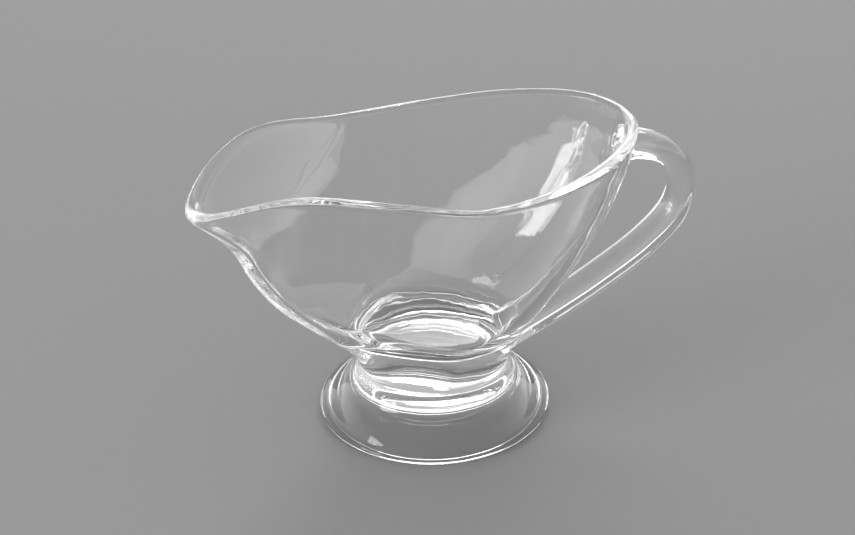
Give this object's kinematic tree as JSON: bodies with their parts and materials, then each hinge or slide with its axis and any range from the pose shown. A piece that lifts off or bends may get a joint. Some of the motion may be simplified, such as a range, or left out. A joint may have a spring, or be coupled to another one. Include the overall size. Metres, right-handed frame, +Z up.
{
  "type": "footed glass gravy boat",
  "caption": "Clear glass gravy boat with a wide pouring spout, a wavy lip, a loop handle and a flared round foot.",
  "frame": {"origin": "on the surface that the boat stands on, under the middle of its length and width", "axes": "+X from the pouring spout to the handle, +Y across the bowl, +Z up"},
  "size_m": [0.1546, 0.0734, 0.0917],
  "materials": {
    "clear_glass": "clear colourless pressed glass, fire-polished and smooth, with faint waves in its surface"
  },
  "bodies": {
    "root": {"gravy_boat": "clear_glass"}
  },
  "joints": []
}
